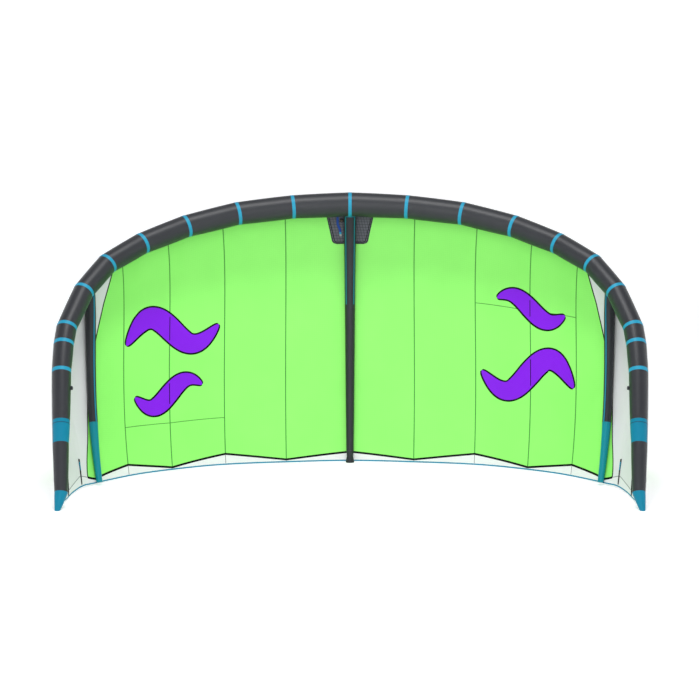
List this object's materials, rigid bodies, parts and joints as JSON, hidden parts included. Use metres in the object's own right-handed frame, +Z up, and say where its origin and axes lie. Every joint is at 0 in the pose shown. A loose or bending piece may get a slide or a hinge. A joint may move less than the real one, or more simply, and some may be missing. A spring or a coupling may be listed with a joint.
{
  "type": "inflatable kitesurfing kite",
  "caption": "Arched inflatable power kite with a tube leading edge and inflated struts, green canopy panels, pale trailing band and tips, standing on its wing tips and centre strut.",
  "frame": {"origin": "centre of the bounding box in X and Y, on the ground that the wing tips and the centre strut's end stand on", "axes": "+X along the span towards the right wing tip as the hollow side is seen, +Z up towards the leading edge, and the hollow side faces -Y"},
  "size_m": [4.162, 2.0599, 2.0521],
  "materials": {
    "tube_cloth": "dark grey woven polyester, matt with a soft sheen",
    "wide_band_cloth": "blue woven polyester, matt",
    "canopy_cloth": "light green ripstop canopy cloth, thin and smooth",
    "tip_cloth": "pale ripstop canopy cloth, thin and smooth",
    "edge_cloth": "white ripstop cloth, doubled along the trailing edge",
    "binding_tape": "narrow woven tape",
    "strut_cloth": "dark grey woven polyester, matt",
    "strut_rear_cloth": "teal woven polyester, matt",
    "patch_cloth": "grey ripstop reinforcement cloth",
    "valve_plastic": "soft black polyurethane",
    "webbing": "blue woven webbing",
    "batten_pocket": "dark woven tape over a thin batten"
  },
  "bodies": {
    "root": {"batten_left": "batten_pocket", "batten_right": "batten_pocket", "bridle_tab_left": "webbing", "bridle_tab_right": "webbing", "canopy_left_1": "canopy_cloth", "canopy_left_2": "canopy_cloth", "canopy_left_3": "canopy_cloth", "canopy_left_4": "canopy_cloth", "canopy_left_5": "canopy_cloth", "canopy_right_1": "canopy_cloth", "canopy_right_2": "canopy_cloth", "canopy_right_3": "canopy_cloth", "canopy_right_4": "canopy_cloth", "canopy_right_5": "canopy_cloth", "centre_patch": "patch_cloth", "edge_batten_left": "batten_pocket", "edge_batten_right": "batten_pocket", "inflation_valve": "valve_plastic", "leading_edge_left_01": "tube_cloth", "leading_edge_left_02": "tube_cloth", "leading_edge_left_03": "tube_cloth", "leading_edge_left_04": "tube_cloth", "leading_edge_left_05": "tube_cloth", "leading_edge_left_06": "tube_cloth", "leading_edge_left_07": "tube_cloth", "leading_edge_left_08": "tube_cloth", "leading_edge_left_09": "tube_cloth", "leading_edge_left_10": "tube_cloth", "leading_edge_left_11": "wide_band_cloth", "leading_edge_left_12": "tube_cloth", "leading_edge_left_13": "wide_band_cloth", "leading_edge_right_01": "tube_cloth", "leading_edge_right_02": "tube_cloth", "leading_edge_right_03": "tube_cloth", "leading_edge_right_04": "tube_cloth", "leading_edge_right_05": "tube_cloth", "leading_edge_right_06": "tube_cloth", "leading_edge_right_07": "tube_cloth", "leading_edge_right_08": "tube_cloth", "leading_edge_right_09": "tube_cloth", "leading_edge_right_10": "tube_cloth", "leading_edge_right_11": "wide_band_cloth", "leading_edge_right_12": "tube_cloth", "leading_edge_right_13": "wide_band_cloth", "rear_band_left": "edge_cloth", "rear_band_right": "edge_cloth", "rear_binding_left": "binding_tape", "rear_binding_right": "binding_tape", "strut_centre": "strut_cloth", "strut_centre_end": "strut_cloth", "strut_left_front": "strut_cloth", "strut_left_rear": "strut_rear_cloth", "strut_right_front": "strut_cloth", "strut_right_rear": "strut_rear_cloth", "tip_band_left": "edge_cloth", "tip_band_right": "edge_cloth", "tip_panel_left": "tip_cloth", "tip_panel_right": "tip_cloth", "valve_strap": "webbing"}
  },
  "joints": []
}
